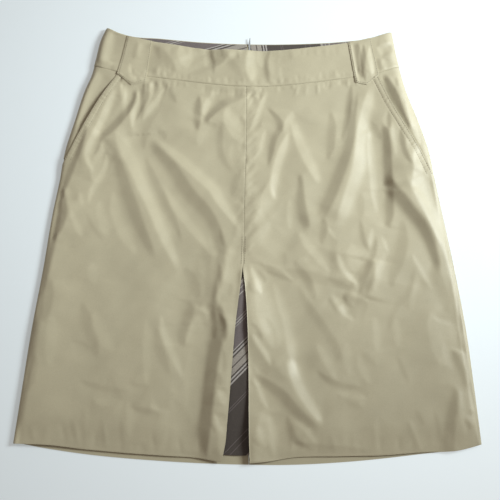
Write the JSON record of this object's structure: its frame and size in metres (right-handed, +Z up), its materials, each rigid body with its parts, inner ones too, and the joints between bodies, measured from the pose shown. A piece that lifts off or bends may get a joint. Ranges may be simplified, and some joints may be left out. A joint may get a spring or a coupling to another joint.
{
  "type": "skort",
  "caption": "A-line skort laid flat: slit skirt over striped inner shorts, with a fitted waistband, slanted hip pockets and waist tabs.",
  "frame": {"origin": "centre of the bounding box on the surface that the back lies on", "axes": "+Z up from that surface, +Y from hem to waist, +X across to the picture's right, the wearer's left"},
  "size_m": [0.5847, 0.5877, 0.0154],
  "materials": {
    "outer_cloth": "khaki cotton sateen with a soft sheen and pressed edges",
    "striped_cloth": "dull taupe woven cotton with narrow and wide beige stripes",
    "zip_cloth": "matt woven zip tape"
  },
  "bodies": {
    "root": {"front_left": "outer_cloth", "front_right": "outer_cloth", "back_left": "outer_cloth", "back_right": "outer_cloth", "waist_front": "outer_cloth", "waist_back_left": "outer_cloth", "waist_back_right": "outer_cloth", "pocket_facing_left": "outer_cloth", "pocket_facing_right": "outer_cloth", "tab_left": "outer_cloth", "tab_right": "outer_cloth", "facing_back_left": "striped_cloth", "facing_back_right": "striped_cloth", "shorts_front_left": "striped_cloth", "shorts_front_right": "striped_cloth", "shorts_back_left": "striped_cloth", "shorts_back_right": "striped_cloth", "zip_tape": "zip_cloth"}
  },
  "joints": []
}
